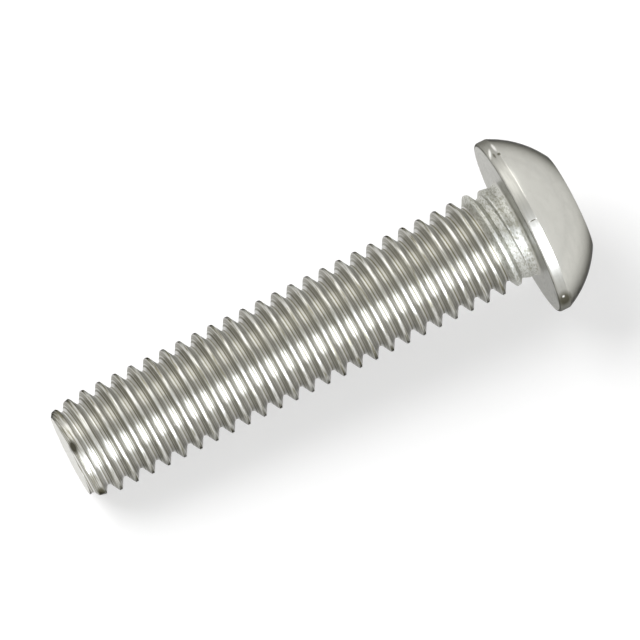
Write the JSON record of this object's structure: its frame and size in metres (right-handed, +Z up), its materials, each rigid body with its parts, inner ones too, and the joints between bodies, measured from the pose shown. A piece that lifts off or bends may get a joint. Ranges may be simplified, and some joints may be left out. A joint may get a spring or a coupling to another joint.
{
  "type": "button head socket screw",
  "caption": "Button head socket screw in stainless steel, threaded up to the head, lying at rest on its head's rim and thread.",
  "frame": {"origin": "centre of the bearing face under the head, on the screw's axis; the screw lies below it on a surface", "axes": "+Z up from the surface it lies on, +X from the point to the head along the screw, level, while the screw's own axis rises 4.9 degrees to the head"},
  "size_m": [0.0316, 0.0104, 0.0105],
  "materials": {
    "stainless": "bright cold-headed stainless steel, rolled thread"
  },
  "bodies": {
    "root": {"screw": "stainless"}
  },
  "joints": []
}
